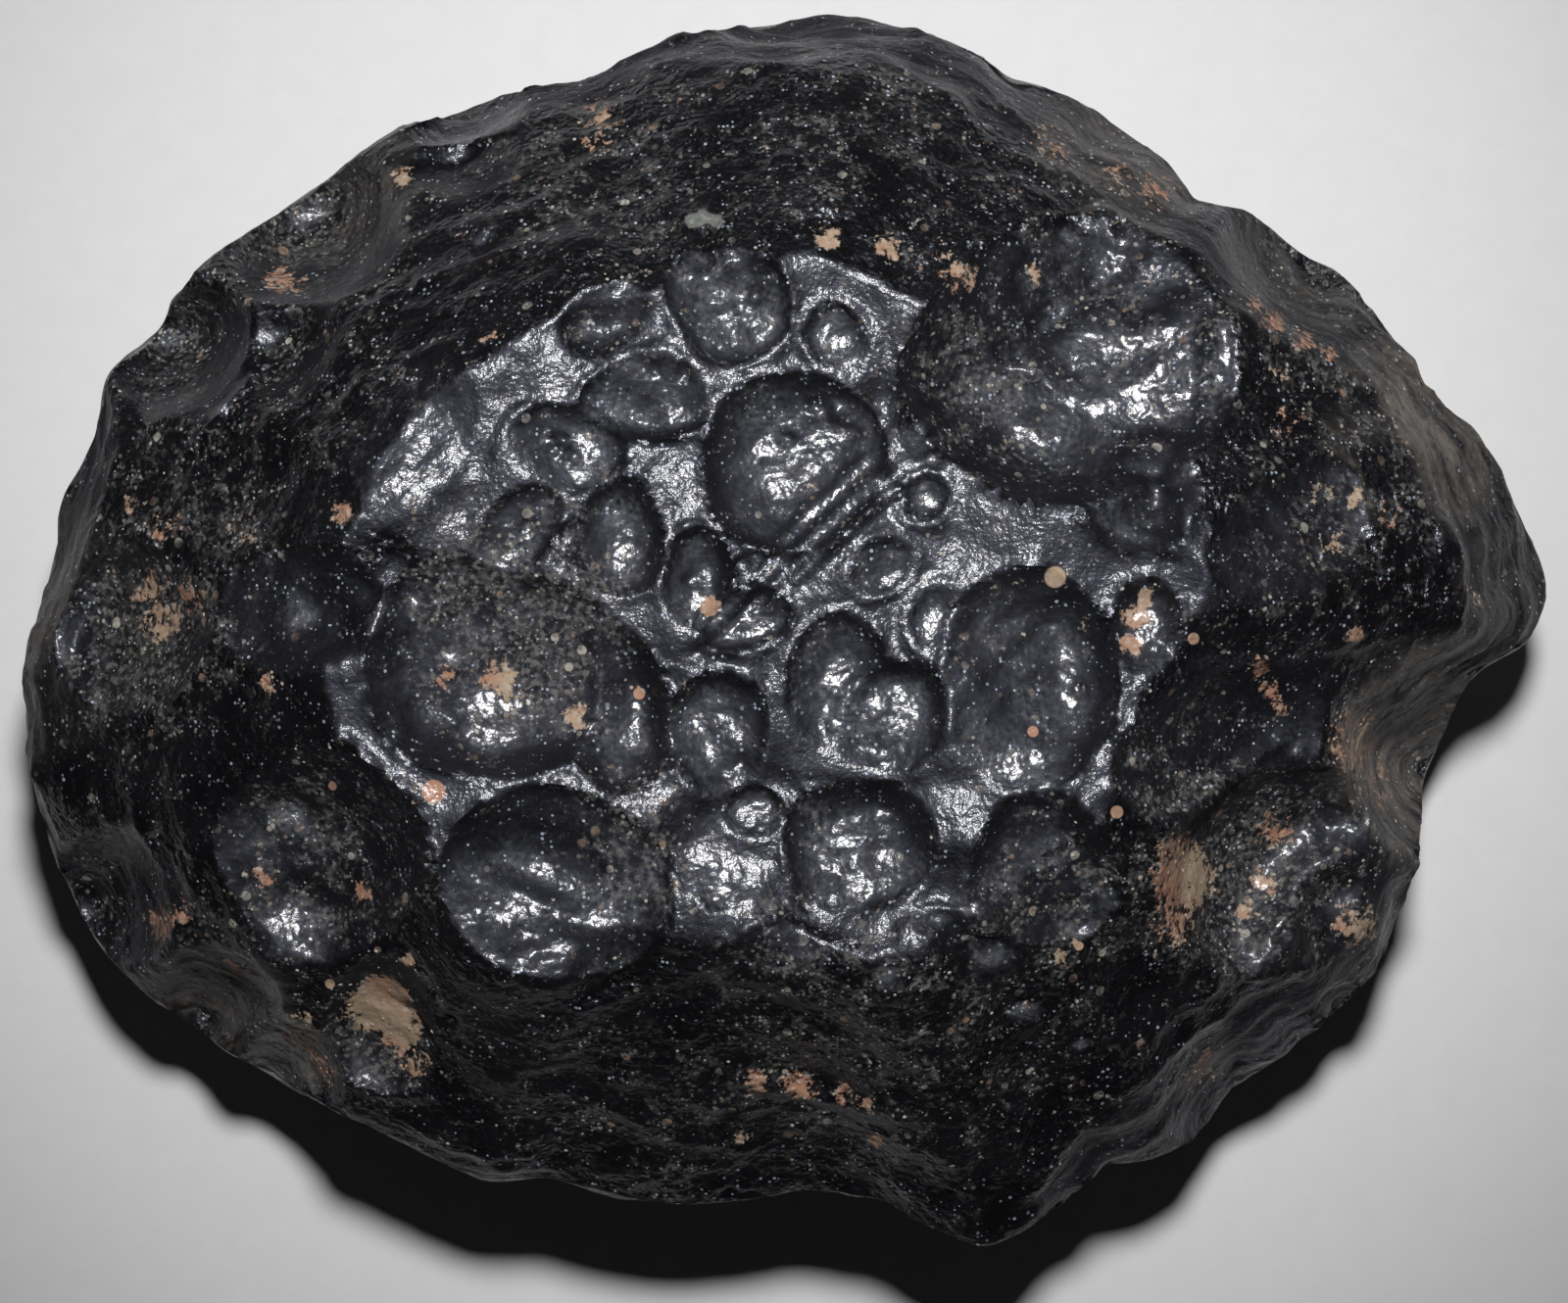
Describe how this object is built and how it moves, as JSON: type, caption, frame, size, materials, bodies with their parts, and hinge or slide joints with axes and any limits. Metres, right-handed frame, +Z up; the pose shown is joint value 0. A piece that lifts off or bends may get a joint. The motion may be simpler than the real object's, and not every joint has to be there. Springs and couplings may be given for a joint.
{
  "type": "tektite",
  "caption": "Pitted lump of black natural glass: a low mound with a sharp wavy rim, scooped side walls and a small worn flat underneath.",
  "frame": {"origin": "middle of the footprint, on the worn flat that the lump rests on", "axes": "+Z up out of the pitted crown, +X along the longest side towards the beak-like tip"},
  "size_m": [0.0499, 0.0399, 0.0211],
  "materials": {
    "black_glass": "natural black glass, satin to glossy, with dust and dried clay in the pits"
  },
  "bodies": {
    "root": {"tektite": "black_glass"}
  },
  "joints": []
}
